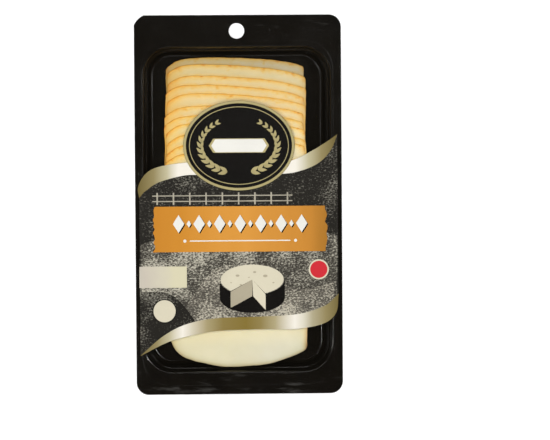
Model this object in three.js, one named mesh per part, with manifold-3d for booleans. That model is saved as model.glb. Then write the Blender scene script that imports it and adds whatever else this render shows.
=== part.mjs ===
// Sliced muenster cheese in a shallow black tray, under a clear printed film with a hang hole.
// Millimetres, +Z up. The pack lies on its back, so +Z is the side that faces the buyer and +Y the hang hole.
// The origin is at the middle of the pack's footprint, on the surface that the tray rests on.
import * as THREE from "three";
import { mergeVertices } from "three/addons/utils/BufferGeometryUtils.js";
import Module from "manifold-3d";

// The pack's outline, which the tray's flange and the film share
const PACK_WIDTH = 127;
const PACK_LENGTH = 233;
const CORNER_RADIUS = 7.6;
const PEEL_CORNER = 5.9; // the corner that is cut off so that a finger can lift the film
const PEEL_CORNER_BULGE = 0.4; // 1 would be a round corner and 0 a straight cut
const CORNER_STEPS = 9;

// The tray, formed from one sheet
const TRAY_HEIGHT = 24;
const SHEET = 0.5;
const MOUTH_WIDTH = 114.8;
const MOUTH_LENGTH = 199.6;
const MOUTH_RADIUS = 17.5;
const WELL_X = -0.6; // the well and the hang hole lie a little to the left in the outline
const MOUTH_Y = -2.8; // the well sits low, because the hang hole takes the far flange
const MOUTH_ROUNDING = 1.2;
const WALL_LEAN = 0.111; // how far the wall leans in for each millimetre down
const LEDGE_BELOW_FLANGE = 9.6;
const LEDGE_WIDTH = 0.9;
const LEDGE_FALL = 0.4;
const LEDGE_ROUNDING = 0.7;
const FOOT_ROUNDING = 2.6;
const FLOOR_BORDER = 6;
const ROUNDING_STEPS = 3;

const HANG_HOLE_RADIUS = 4.76;
const HANG_HOLE_BELOW_EDGE = 9.8;
const HANG_HOLE_STEPS = 32;

// The clear film, sealed on the flange
const FILM_INSET = 0.4;
const FILM_THICKNESS = 0.2;
const SEAL_GAP = 0.1;

// The cheese slices, all of one outline: two ends, each a smooth line from side to side, with straight sides
// between them. The far end's heights are counted from its top and the near end's from its lowest point.
const SLICE_LENGTH = 125.2;
const SLICE_THICKNESS = 1.75;
const FAR_END = [
  [42.9, -8.6],
  [41.6, -6.8],
  [30, -3.6],
  [12, -1.5],
  [-12, -0.2],
  [-32, -0.8],
  [-40.6, -4.4],
  [-42.9, -7],
];
const NEAR_END = [
  [-42.9, 19.1],
  [-37, 8.8],
  [-25, 3.1],
  [-6.4, 0],
  [18.4, 1.9],
  [32, 6.1],
  [41.2, 10.3],
  [42.9, 13.9],
];
const END_STEPS = 56;
const ROUND_END = 24; // how much of a slice's length each of its ends takes
const END_ROWS = 10;

// The pile: each slice lies on the last one, a little nearer to the near end
const LAYER_RISE = 1.85; // from one slice's underside to the next one's
const PILE_X = -0.5;
const FIRST_SLICE_TOP_Y = 91.5;
const DRAPE_SLOPE = 0.11; // how the slices' near ends fall, once they are past the end of the first one
const BEND_LENGTH = 18;
const BEND_ROWS = 5;

// How far each slice lies below the last one, its turn in degrees, and how far it is off to the side
const SLICES = [
  { advance: 0, turn: 1.2, aside: 0.2 },
  { advance: 4.9, turn: -1, aside: -0.9 },
  { advance: 7.2, turn: -1.4, aside: -1 },
  { advance: 5.6, turn: -1.2, aside: -2.2 },
  { advance: 5.3, turn: -0.9, aside: -1.1 },
  { advance: 6.8, turn: 1.7, aside: -0.2 },
  { advance: 5.6, turn: 2.2, aside: 0 },
  { advance: 4.8, turn: 2, aside: 0.9 },
  { advance: 6.4, turn: 2.2, aside: 1.6 },
  { advance: 5.1, turn: 4.4, aside: 2.9 },
  { advance: 7.7, turn: 0.4, aside: -1.1 },
  { advance: 7.3, turn: -0.8, aside: 0.2 },
];

// The print: fields of ink side by side on the film, with a hairline between them
const INK_THICKNESS = 0.12;
const INK_GAP = 0.3;
const CUT_MARGIN = 1; // how far a cutting shape reaches past the piece that it cuts
const WELD_DISTANCE = 1e-4;
const BADGE = { x: 0.4, y: 36.4, halfWidth: 34.2, halfHeight: 27.6 };
const BANNER = { x: 0.8, y: -14.8, width: 107.6, length: 28 };
const PANEL = { x: -46.7, y: -44.1, width: 29.1, length: 13.1 };
const BADGE_STEPS = 56;
const RIBBON_STEPS = 24;

// The ribbons' middle lines, each point with half of the ribbon's width there.
// The upper two end under the badge.
const LEFT_RIBBON = [
  [-61, 4.9, 0.1],
  [-58.7, 11.2, 3],
  [-51, 18.2, 4.5],
  [-34.2, 22.1, 3.9],
  [-20, 22.3, 3.8],
];
const RIGHT_RIBBON = [
  [20, 22.4, 3.8],
  [33.9, 23.5, 3.8],
  [46.2, 28.6, 4.3],
  [54.5, 35.1, 3],
  [60.7, 42.8, 0.1],
];
const LOWER_RIBBON = [
  [-61, -92.4, 0.1],
  [-45.7, -82.3, 2.3],
  [-31.6, -76.7, 3.7],
  [-13.9, -73.5, 3.9],
  [12.6, -72.7, 3.9],
  [37.4, -71.8, 4.5],
  [54.2, -66.6, 4.6],
  [61.1, -55.2, 0.1],
];

const wasm = await Module();
wasm.setup();

// A rectangle's outline, anticlockwise, from the corner at its far right
function roundedRectangle(width, length, corners, centreX, centreY) {
  const points = [];
  corners.forEach(({ radius, bulge }, quarter) => {
    const signX = quarter === 0 || quarter === 3 ? 1 : -1;
    const signY = quarter < 2 ? 1 : -1;
    const centre = new THREE.Vector2(signX * (width / 2 - radius), signY * (length / 2 - radius));
    centre.add(new THREE.Vector2(centreX, centreY));
    const start = new THREE.Vector2(1, 0).rotateAround(new THREE.Vector2(), (quarter * Math.PI) / 2);
    const end = new THREE.Vector2(-start.y, start.x);
    for (let step = 0; step <= CORNER_STEPS; step++) {
      const share = step / CORNER_STEPS;
      const straight = start.clone().lerp(end, share);
      const round = start.clone().rotateAround(new THREE.Vector2(), (share * Math.PI) / 2);
      points.push(centre.clone().addScaledVector(straight.lerp(round, bulge), radius));
    }
  });
  return points;
}

function packOutline(inset) {
  const round = { radius: CORNER_RADIUS - inset, bulge: 1 };
  const peel = { radius: PEEL_CORNER - inset, bulge: PEEL_CORNER_BULGE };
  return roundedRectangle(PACK_WIDTH - 2 * inset, PACK_LENGTH - 2 * inset, [round, peel, round, round], 0, 0);
}

function wellOutline(inset) {
  const corners = Array(4).fill({ radius: MOUTH_RADIUS - inset, bulge: 1 });
  return roundedRectangle(MOUTH_WIDTH - 2 * inset, MOUTH_LENGTH - 2 * inset, corners, WELL_X, MOUTH_Y);
}

// The wall's section from the flange in to the floor. Each x is the distance in from the mouth's edge.
function wallSection() {
  const ledgeX = LEDGE_BELOW_FLANGE * WALL_LEAN;
  const ledgeZ = TRAY_HEIGHT - LEDGE_BELOW_FLANGE;
  const footX = ledgeX + LEDGE_WIDTH + (ledgeZ - LEDGE_FALL - SHEET) * WALL_LEAN;
  return [
    { x: -FLOOR_BORDER, z: TRAY_HEIGHT, radius: 0 },
    { x: 0, z: TRAY_HEIGHT, radius: MOUTH_ROUNDING },
    { x: ledgeX, z: ledgeZ, radius: LEDGE_ROUNDING },
    { x: ledgeX + LEDGE_WIDTH, z: ledgeZ - LEDGE_FALL, radius: LEDGE_ROUNDING },
    { x: footX, z: SHEET, radius: FOOT_ROUNDING },
    { x: footX + FLOOR_BORDER, z: SHEET, radius: 0 },
  ];
}

// The same section one sheet thickness further down and out, with arcs round the same centres
function undersideOf(section) {
  const points = section.map((p) => new THREE.Vector2(p.x, p.z));
  const directions = points.slice(1).map((p, i) => p.clone().sub(points[i]).normalize());
  return section.map((p, i) => {
    const before = directions[Math.max(i - 1, 0)];
    const after = directions[Math.min(i, directions.length - 1)];
    const out = new THREE.Vector2(before.y + after.y, -before.x - after.x).normalize();
    const reach = SHEET / out.dot(new THREE.Vector2(after.y, -after.x));
    const turn = Math.sign(before.cross(after));
    return { x: p.x + out.x * reach, z: p.z + out.y * reach, radius: Math.max(p.radius + turn * SHEET, 0) };
  });
}

// A section's points, with an arc at each corner between its ends
function roundSection(section) {
  const points = section.map((p) => new THREE.Vector2(p.x, p.z));
  const rounded = [];
  for (let i = 1; i < section.length - 1; i++) {
    const toBefore = points[i - 1].clone().sub(points[i]).normalize();
    const toAfter = points[i + 1].clone().sub(points[i]).normalize();
    const half = toBefore.angleTo(toAfter) / 2;
    const inward = toBefore.clone().add(toAfter).normalize();
    const centre = points[i].clone().addScaledVector(inward, section[i].radius / Math.sin(half));
    const first = points[i].clone().addScaledVector(toBefore, section[i].radius / Math.tan(half));
    const sweep = -Math.sign(toBefore.cross(toAfter)) * (Math.PI - 2 * half);
    for (let step = 0; step <= ROUNDING_STEPS; step++) {
      rounded.push(first.clone().rotateAround(centre, (sweep * step) / ROUNDING_STEPS));
    }
  }
  return [points[0], ...rounded, points[points.length - 1]];
}

// A closed surface through rings of equal length, with a point at each end
function loft(rings, firstPoint, lastPoint) {
  const count = rings[0].length;
  const at = (ring, step) => 1 + ring * count + (step % count);
  const last = 1 + rings.length * count;
  const faces = [];
  for (let step = 0; step < count; step++) {
    faces.push(0, at(0, step + 1), at(0, step));
    faces.push(last, at(rings.length - 1, step), at(rings.length - 1, step + 1));
    for (let ring = 0; ring < rings.length - 1; ring++) {
      faces.push(at(ring, step), at(ring, step + 1), at(ring + 1, step + 1));
      faces.push(at(ring, step), at(ring + 1, step + 1), at(ring + 1, step));
    }
  }
  const positions = [firstPoint, ...rings.flat(), lastPoint].flatMap((p) => p.toArray());
  const geometry = new THREE.BufferGeometry();
  geometry.setAttribute("position", new THREE.Float32BufferAttribute(positions, 3));
  geometry.setIndex(faces);
  return geometry;
}

function solidOf(geometry) {
  const bare = geometry.clone();
  bare.deleteAttribute("normal");
  bare.deleteAttribute("uv");
  const merged = mergeVertices(bare, WELD_DISTANCE);
  const mesh = new wasm.Mesh({
    numProp: 3,
    vertProperties: new Float32Array(merged.attributes.position.array),
    triVerts: new Uint32Array(merged.index.array),
  });
  return new wasm.Manifold(mesh);
}

function geometryOf(solid) {
  const mesh = solid.getMesh();
  const geometry = new THREE.BufferGeometry();
  geometry.setAttribute("position", new THREE.BufferAttribute(new Float32Array(mesh.vertProperties), 3));
  geometry.setIndex(new THREE.BufferAttribute(new Uint32Array(mesh.triVerts), 1));
  geometry.computeVertexNormals();
  return geometry;
}

function hangHolePunch() {
  const height = 2 * (TRAY_HEIGHT + CUT_MARGIN);
  const punch = new THREE.CylinderGeometry(HANG_HOLE_RADIUS, HANG_HOLE_RADIUS, height, HANG_HOLE_STEPS);
  punch.rotateX(Math.PI / 2);
  punch.translate(WELL_X, PACK_LENGTH / 2 - HANG_HOLE_BELOW_EDGE, 0);
  return solidOf(punch);
}

// The tray: one sheet with a flat flange, a leaning wall with a narrow ledge, and a flat floor
function trayGeometry() {
  const ring = (outline, z) => outline.map((p) => new THREE.Vector3(p.x, p.y, z));
  const wallRings = (section) => roundSection(section).slice(1).map((p) => ring(wellOutline(p.x), p.y));
  const inside = wallSection();
  const rings = [
    ...wallRings(undersideOf(inside)).reverse(),
    ring(packOutline(0), TRAY_HEIGHT - SHEET),
    ring(packOutline(0), TRAY_HEIGHT),
    ...wallRings(inside),
  ];
  const middle = (z) => new THREE.Vector3(WELL_X, MOUTH_Y, z);
  const shell = loft(rings, middle(0), middle(SHEET));
  return geometryOf(solidOf(shell).subtract(hangHolePunch()));
}

// A flat plate of a given outline, standing on a height
function plate(points, bottom, thickness) {
  const shape = new THREE.Shape(points);
  const geometry = new THREE.ExtrudeGeometry(shape, { depth: thickness, bevelEnabled: false });
  return solidOf(geometry.translate(0, 0, bottom));
}

function filmGeometry() {
  const film = plate(packOutline(FILM_INSET), TRAY_HEIGHT + SEAL_GAP, FILM_THICKNESS);
  return geometryOf(film.subtract(hangHolePunch()));
}

// A slice's outline with the middle of its far end at the origin, anticlockwise from its right side
function sliceOutline() {
  const line = (end, lift) => new THREE.SplineCurve(end.map(([x, y]) => new THREE.Vector2(x, y + lift)));
  return [...line(FAR_END, 0).getPoints(END_STEPS), ...line(NEAR_END, -SLICE_LENGTH).getPoints(END_STEPS)];
}

// Every slice bends on the same lines across the pack, past the near end of the first one, so that they nest
const BEND_Y = FIRST_SLICE_TOP_Y - SLICE_LENGTH;
const BEND_STEP = BEND_LENGTH / BEND_ROWS;
const BEND_LINES = Array.from({ length: BEND_ROWS + 1 }, (_, row) => BEND_Y - BEND_STEP * row);

function bendHeight(y) {
  const past = THREE.MathUtils.clamp(BEND_Y - y, 0, BEND_LENGTH);
  const beyond = Math.max(BEND_Y - BEND_LENGTH - y, 0);
  return -DRAPE_SLOPE * (past ** 2 / (2 * BEND_LENGTH) + beyond);
}

// The bend is flat between its lines
function pileHeight(y) {
  const next = BEND_LINES.findIndex((line) => line < y);
  if (next <= 0) return bendHeight(y);
  const [high, low] = [BEND_LINES[next - 1], BEND_LINES[next]];
  return THREE.MathUtils.mapLinear(y, low, high, bendHeight(low), bendHeight(high));
}

// The left and right side of a closed outline at a place along the pack
function sidesAt(outline, y) {
  const found = [];
  outline.forEach((a, i) => {
    const b = outline[(i + 1) % outline.length];
    if (a.y <= y !== b.y <= y) found.push(THREE.MathUtils.mapLinear(y, a.y, b.y, a.x, b.x));
  });
  return [Math.min(...found), Math.max(...found)];
}

// One slice: rows of four points across it, close together where its ends are round and where the pile bends
function sliceGeometry(topY, { turn, aside }, layer) {
  const middle = new THREE.Vector2(0, -SLICE_LENGTH / 2);
  const place = new THREE.Vector2(PILE_X + aside, topY);
  const angle = THREE.MathUtils.degToRad(turn);
  const outline = sliceOutline().map((p) => p.rotateAround(middle, angle).add(place));
  const lowest = Math.min(...outline.map((p) => p.y));
  const highest = Math.max(...outline.map((p) => p.y));
  const shares = Array.from({ length: END_ROWS }, (_, row) => (row + 0.5) / (END_ROWS - 0.5));
  const fromEnd = shares.map((share) => ROUND_END * share ** 2);
  const rows = [
    ...fromEnd.map((distance) => lowest + distance),
    ...BEND_LINES.filter((y) => y > lowest + ROUND_END && y < highest - ROUND_END).reverse(),
    ...fromEnd.map((distance) => highest - distance).reverse(),
  ];
  const rings = rows.map((y) => {
    const [left, right] = sidesAt(outline, y);
    const bottom = SHEET + SEAL_GAP + layer * LAYER_RISE + pileHeight(y);
    const top = bottom + SLICE_THICKNESS;
    const corners = [[left, bottom], [left, top], [right, top], [right, bottom]];
    return corners.map(([x, z]) => new THREE.Vector3(x, y, z));
  });
  const centre = (ring) => ring[0].clone().lerp(ring[2], 0.5);
  return loft(rings, centre(rings[0]), centre(rings[rings.length - 1]));
}

// One edge of a ribbon: side 1 is its upper edge, -1 its lower one and 0 its middle line
function ribbonEdge(line, side, margin) {
  const curve = new THREE.CatmullRomCurve3(line.map(([x, y, half]) => new THREE.Vector3(x, y, half)));
  return curve.getPoints(RIBBON_STEPS).map((p, step) => {
    const along = curve.getTangent(step / RIBBON_STEPS);
    const across = new THREE.Vector2(-along.y, along.x).normalize();
    return new THREE.Vector2(p.x, p.y).addScaledVector(across, side * (p.z + margin));
  });
}

function ribbonOutline(line, margin) {
  return [...ribbonEdge(line, -1, margin), ...ribbonEdge(line, 1, margin).reverse()];
}

function ellipseOutline({ x, y, halfWidth, halfHeight }, margin) {
  const curve = new THREE.EllipseCurve(x, y, halfWidth + margin, halfHeight + margin);
  return curve.getPoints(BADGE_STEPS).slice(1);
}

function rectangleOutline({ x, y, width, length }, margin) {
  const corners = [[-1, -1], [1, -1], [1, 1], [-1, 1]];
  const place = ([i, j]) => new THREE.Vector2(x + i * (width / 2 + margin), y + j * (length / 2 + margin));
  return corners.map(place);
}

// The fields of ink. Each one is cut back by the ones before it, so that they lie side by side.
function inkFields() {
  const ribbons = [LOWER_RIBBON, LEFT_RIBBON, RIGHT_RIBBON];
  const [lower, left, right] = ribbons.map((line) => ribbonEdge(line, 0, 0));
  const outlines = {
    lid_badge: (margin) => ellipseOutline(BADGE, margin),
    lid_banner: (margin) => rectangleOutline(BANNER, margin),
    lid_panel: (margin) => rectangleOutline(PANEL, margin),
    lid_ribbon_left: (margin) => ribbonOutline(LEFT_RIBBON, margin),
    lid_ribbon_right: (margin) => ribbonOutline(RIGHT_RIBBON, margin),
    lid_ribbon_lower: (margin) => ribbonOutline(LOWER_RIBBON, margin),
    lid_field: () => [...lower, ...right.reverse(), ...left.reverse()],
  };
  const bottom = TRAY_HEIGHT + FILM_THICKNESS + 2 * SEAL_GAP;
  const done = [];
  return Object.entries(outlines).map(([name, outline]) => {
    let ink = plate(outline(0), bottom, INK_THICKNESS);
    for (const earlier of done) {
      ink = ink.subtract(plate(earlier(INK_GAP), bottom - CUT_MARGIN, INK_THICKNESS + 2 * CUT_MARGIN));
    }
    done.push(outline);
    return [name, geometryOf(ink)];
  });
}

const blackPlastic = new THREE.MeshStandardMaterial({ color: 0x1b1917, roughness: 0.35, metalness: 0 });
const cheese = new THREE.MeshStandardMaterial({ color: 0xefe2b8, roughness: 0.5, metalness: 0 });
const clearFilm = new THREE.MeshStandardMaterial({ color: 0xf4f4f2, roughness: 0.08, metalness: 0 });
clearFilm.transparent = true;
clearFilm.opacity = 0.15;
const ink = (color) => new THREE.MeshStandardMaterial({ color, roughness: 0.35, metalness: 0 });
const gold = ink(0xc9bd8f);
const inks = {
  lid_badge: ink(0x17130f),
  lid_banner: ink(0xd9953a),
  lid_panel: ink(0xe4dcc2),
  lid_ribbon_left: gold,
  lid_ribbon_right: gold,
  lid_ribbon_lower: gold,
  lid_field: ink(0x5b5650),
};

const pack = new THREE.Group();

function add(name, geometry, material) {
  const mesh = new THREE.Mesh(geometry, material);
  mesh.name = name;
  pack.add(mesh);
}

add("tray", trayGeometry(), blackPlastic);
let topY = FIRST_SLICE_TOP_Y;
SLICES.forEach((slice, layer) => {
  topY -= slice.advance;
  add(`slice_${String(layer + 1).padStart(2, "0")}`, sliceGeometry(topY, slice, layer), cheese);
});
add("lid_film", filmGeometry(), clearFilm);
inkFields().forEach(([name, geometry]) => add(name, geometry, inks[name]));

export default pack;
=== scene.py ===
import math

import bpy
import numpy as np
from mathutils import Matrix, Vector
from mathutils.geometry import delaunay_2d_cdt


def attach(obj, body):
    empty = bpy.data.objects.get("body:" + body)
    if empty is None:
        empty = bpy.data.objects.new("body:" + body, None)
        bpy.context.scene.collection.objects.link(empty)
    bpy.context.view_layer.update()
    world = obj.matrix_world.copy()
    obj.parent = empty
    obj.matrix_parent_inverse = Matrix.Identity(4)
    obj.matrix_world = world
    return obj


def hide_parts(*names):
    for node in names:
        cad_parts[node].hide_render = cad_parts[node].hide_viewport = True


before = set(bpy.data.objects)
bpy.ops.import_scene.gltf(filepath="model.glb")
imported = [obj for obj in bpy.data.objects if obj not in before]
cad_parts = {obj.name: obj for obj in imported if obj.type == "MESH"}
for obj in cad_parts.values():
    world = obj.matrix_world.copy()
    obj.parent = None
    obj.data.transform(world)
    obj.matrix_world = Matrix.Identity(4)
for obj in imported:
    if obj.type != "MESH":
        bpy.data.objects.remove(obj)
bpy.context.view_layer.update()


# Camera. The pack lies on its back and the photo looks straight down on it, from far off with a long lens.
# It stands a little towards the hang hole and the left side, and is turned by less than half a degree.
MM = 0.001
IMAGE_WIDTH_PX, IMAGE_HEIGHT_PX = 550, 440
MM_PER_PX = 0.6145
PACK_CENTRE_PX = (238.7, 204.85)
CAMERA_DISTANCE = 1700
CAMERA_LEAN = (-0.032, 0.034)
CAMERA_ROLL = math.radians(0.38)
LID_HEIGHT = 24.3

right = Vector((math.cos(CAMERA_ROLL), -math.sin(CAMERA_ROLL), 0))
up = Vector((math.sin(CAMERA_ROLL), math.cos(CAMERA_ROLL), 0))
aim = right * (IMAGE_WIDTH_PX / 2 - PACK_CENTRE_PX[0]) * MM_PER_PX
aim += up * (PACK_CENTRE_PX[1] - IMAGE_HEIGHT_PX / 2) * MM_PER_PX
aim.z = LID_HEIGHT
back = Vector((*CAMERA_LEAN, 1)).normalized()
camera_x = up.cross(back).normalized()
camera = bpy.data.objects.new("camera", bpy.data.cameras.new("camera"))
camera.matrix_world = Matrix.Translation((aim + back * CAMERA_DISTANCE) * MM) @ Matrix(
    (camera_x, back.cross(camera_x), back)
).transposed().to_4x4()
camera.data.lens = camera.data.sensor_width * CAMERA_DISTANCE / (IMAGE_WIDTH_PX * MM_PER_PX)
camera.data.clip_end = 10
bpy.context.collection.objects.link(camera)
bpy.context.scene.camera = camera


# Tray. One sheet of black plastic, vacuum formed over a mould: a flat flange, a leaning wall with a narrow
# ledge, and a flat floor. The hang hole is punched through the flange, and the tool that heat seals the film
# leaves a low bead round the mouth.
PACK_WIDTH, PACK_LENGTH = 127, 233
CORNER_RADIUS, PEEL_CORNER, PEEL_CORNER_BULGE = 7.6, 5.9, 0.4
TRAY_HEIGHT, SHEET = 24, 0.5
EDGE_ROUNDING, EDGE_FLAT = 0.12, 0.3
WELL_X, WELL_Y = -0.6, -2.8
WALL_LEAN = 0.111
LEDGE_Z, LEDGE_WIDTH, LEDGE_FALL = 14.4, 0.9, 0.4
MOUTH_ROUNDING, LEDGE_ROUNDING, FOOT_ROUNDING = 1.2, 0.7, 2.6
FLOOR_BORDER = 6
FLAT_GUARD = 0.12
# The mouth and the seam: width, length, corner radius and the middle's place along the pack
MOUTH = (114.8, 199.6, 17.5, WELL_Y)
SEAM = (117.4, 211, 17, -5.2)
SEAM_BEAD = [(-0.5, 0), (-0.4, 0), (-0.22, 0.03), (0, 0.05), (0.22, 0.03), (0.4, 0), (0.5, 0)]
HANG_HOLE, HANG_HOLE_RADIUS, PUNCH_SPACING, PUNCH_REACH = (WELL_X, 106.7), 4.76, 0.467, 4


def mesh_piece(name, points_mm, faces, material, smooth_below=35):
    mesh = bpy.data.meshes.new(name)
    mesh.from_pydata(np.asarray(points_mm) * MM, [], faces)
    mesh.validate()
    piece = bpy.data.objects.new(name, mesh)
    bpy.context.collection.objects.link(piece)
    mesh.materials.append(material)
    mesh.shade_smooth()
    mesh.set_sharp_from_angle(angle=math.radians(smooth_below))
    return piece


def add_node(tree, kind, inputs=(), **settings):
    """Adds a node with its inputs and settings, and returns its outputs."""
    made = tree.nodes.new(kind)
    for setting, value in settings.items():
        setattr(made, setting, value)
    for key, value in dict(inputs).items():
        if isinstance(value, bpy.types.NodeSocket):
            tree.links.new(value, made.inputs[key])
        else:
            made.inputs[key].default_value = value
    return made.outputs


def calc(operation, *values, kind="ShaderNodeMath"):
    """A calculation in the tree that its values come from."""
    tree = next(value.id_data for value in values if isinstance(value, bpy.types.NodeSocket))
    return add_node(tree, kind, enumerate(values), operation=operation)[0]


def plus(first, second):
    return calc("ADD", first, second)


def minus(first, second):
    return calc("SUBTRACT", first, second)


def product(first, second):
    return calc("MULTIPLY", first, second)


def new_finish(name, **sockets):
    """A material with one Principled shader. Returns it with its node tree and the shader."""
    finish = bpy.data.materials.new(name)
    finish.use_nodes = True
    shader = next(n for n in finish.node_tree.nodes if n.type == "BSDF_PRINCIPLED")
    for socket, value in sockets.items():
        shader.inputs[socket.replace("_", " ")].default_value = value
    return finish, finish.node_tree, shader


def feed(shader, value, socket="Base Color"):
    shader.id_data.links.new(value, shader.inputs[socket])


def noise(tree, scale, detail=2, roughness=0.5, stretch=(1, 1, 1)):
    """Noise on the piece's own coordinates, with its scale in patches for each metre."""
    place = add_node(tree, "ShaderNodeTexCoord")["Object"]
    place = add_node(tree, "ShaderNodeMapping", {"Vector": place, "Scale": stretch})[0]
    values = {"Vector": place, "Scale": scale, "Detail": detail, "Roughness": roughness}
    return add_node(tree, "ShaderNodeTexNoise", values)["Fac"]


def ramp(value, *stops):
    """A colour for each value, between stops that are each a value and its colour."""
    result = add_node(value.id_data, "ShaderNodeValToRGB", {"Fac": value})["Color"]
    elements = result.node.color_ramp.elements
    while len(elements) < len(stops):
        elements.new(0.5)
    for element, (position, colour) in zip(elements, sorted(stops)):
        element.position = position
        element.color = (*colour, 1)
    return result


def bump(height, distance_mm, strength):
    values = {"Height": height, "Distance": distance_mm * MM, "Strength": strength}
    return add_node(height.id_data, "ShaderNodeBump", values)["Normal"]


def rounded_rectangle(width, length, corners, middle=(0, 0), steps=14):
    """Anticlockwise from the corner at the far right. A corner is its radius and its bulge."""
    points = []
    for quarter, (radius, bulge) in enumerate(corners):
        sign_x = 1 if quarter in (0, 3) else -1
        sign_y = 1 if quarter < 2 else -1
        centre = np.add(middle, (sign_x * (width / 2 - radius), sign_y * (length / 2 - radius)))
        turn = quarter * math.pi / 2
        start = np.array([math.cos(turn), math.sin(turn)])
        end = np.array([-start[1], start[0]])
        for share in np.linspace(0, 1, steps + 1):
            angle = turn + share * math.pi / 2
            arc = np.array([math.cos(angle), math.sin(angle)])
            chord = start + (end - start) * share
            points.append(centre + radius * (chord + (arc - chord) * bulge))
    return np.array(points)


def pack_outline(inset):
    full = (CORNER_RADIUS - inset, 1)
    peel = (PEEL_CORNER - inset, PEEL_CORNER_BULGE)
    return rounded_rectangle(PACK_WIDTH - 2 * inset, PACK_LENGTH - 2 * inset, [full, peel, full, full])


def well_outline(width, length, radius, y, inset):
    corners = [(radius - inset, 1)] * 4
    return rounded_rectangle(width - 2 * inset, length - 2 * inset, corners, (WELL_X, y))


def oval(centre, radius, spacing=0.8):
    """A circle, or an oval if the radius is a pair."""
    count = max(round(2 * math.pi * np.max(radius) / spacing), 16)
    angles = np.linspace(0, 2 * math.pi, count, endpoint=False)
    return np.array(centre) + np.column_stack([np.cos(angles), np.sin(angles)]) * radius


def sheet_side(section, offset):
    """The section moved out by an offset, with arcs round the same centres."""
    points = [Vector(p[:2]) for p in section]
    along = [(b - a).normalized() for a, b in zip(points, points[1:])]
    moved = []
    for i, (point, (_, _, radius)) in enumerate(zip(points, section)):
        before, after = along[max(i - 1, 0)], along[min(i, len(along) - 1)]
        out = Vector((before.y + after.y, -before.x - after.x)).normalized()
        reach = offset / out.dot(Vector((after.y, -after.x)))
        turn = before.x * after.y - before.y * after.x
        moved.append((*(point + out * reach), max(radius + math.copysign(offset, turn), 0)))
    return moved


def round_section(section, steps=6):
    """The section with its corners rounded.

    Each arc has a point close by on both sides, which keeps the parts next to it flat.
    """
    points = [Vector(p[:2]) for p in section]
    rounded = []
    for before, at, after, (_, _, radius) in zip(points, points[1:], points[2:], section[1:]):
        to_before, to_after = (before - at).normalized(), (after - at).normalized()
        half = to_before.angle(to_after) / 2
        centre = at + (to_before + to_after).normalized() * radius / math.sin(half)
        first = at + to_before * radius / math.tan(half) - centre
        sweep = math.copysign(math.pi - 2 * half, -(to_before.x * to_after.y - to_before.y * to_after.x))
        arc = []
        for step in range(steps + 1):
            angle = sweep * step / steps
            turned = Vector((first.x * math.cos(angle) - first.y * math.sin(angle),
                             first.x * math.sin(angle) + first.y * math.cos(angle)))
            arc.append(centre + turned)
        rounded += [arc[0] + to_before * FLAT_GUARD, *arc, arc[-1] + to_after * FLAT_GUARD]
    return [*rounded, points[-1]]


def ring_at(outline, z):
    return np.column_stack([outline, np.full(len(outline), z)])


def bands(rings, count, step, start=0):
    """The faces from ring to ring at one step round them. The first ring's points begin at a start."""
    following = (step + 1) % count
    return [
        (low + step, low + following, low + count + following, low + count + step)
        for low in range(start, start + (rings - 1) * count, count)
    ]


def loft(rings, first, last):
    """Points and faces of a closed surface through rings of equal length, with a point at each end."""
    count = len(rings[0])
    points = np.vstack([[first], *rings, [last]])
    low = 1 + (len(rings) - 1) * count
    faces = []
    for step in range(count):
        following = (step + 1) % count
        faces += [(0, 1 + following, 1 + step), *bands(len(rings), count, step, 1)]
        faces.append((len(points) - 1, low + step, low + following))
    return points, faces


def bake_modifiers(piece):
    """Replaces a piece's mesh by what its modifiers make of it."""
    bpy.context.view_layer.update()
    result = bpy.data.meshes.new_from_object(piece.evaluated_get(bpy.context.evaluated_depsgraph_get()))
    piece.modifiers.clear()
    old = piece.data
    piece.data = result
    bpy.data.meshes.remove(old)
    result.name = piece.name


def punch(piece):
    """Punches the hang hole through a piece."""
    outline = oval(HANG_HOLE, HANG_HOLE_RADIUS, PUNCH_SPACING)
    low, high = TRAY_HEIGHT - PUNCH_REACH, TRAY_HEIGHT + PUNCH_REACH
    surface = loft([ring_at(outline, low), ring_at(outline, high)], [*HANG_HOLE, low], [*HANG_HOLE, high])
    cutter = mesh_piece("cutter", *surface, piece.data.materials[0])
    cut = piece.modifiers.new("hole", "BOOLEAN")
    cut.object = cutter
    cut.operation = "DIFFERENCE"
    cut.solver = "EXACT"
    bake_modifiers(piece)
    piece.data.set_sharp_from_angle(angle=math.radians(50))
    bpy.data.objects.remove(cutter)


black_sheet, tree, shader = new_finish("black_sheet", IOR=1.5, Specular_IOR_Level=0.15)
feed(shader, ramp(noise(tree, 60, 3), (0.3, (0.0022, 0.0016, 0.001)), (0.7, (0.004, 0.0031, 0.002))))
feed(shader, ramp(noise(tree, 34, 4, 0.6), (0.3, (0.13,) * 3), (0.7, (0.2,) * 3)), "Roughness")
feed(shader, bump(noise(tree, 700, 3, 0.6), 0.02, 0.5), "Normal")

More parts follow.
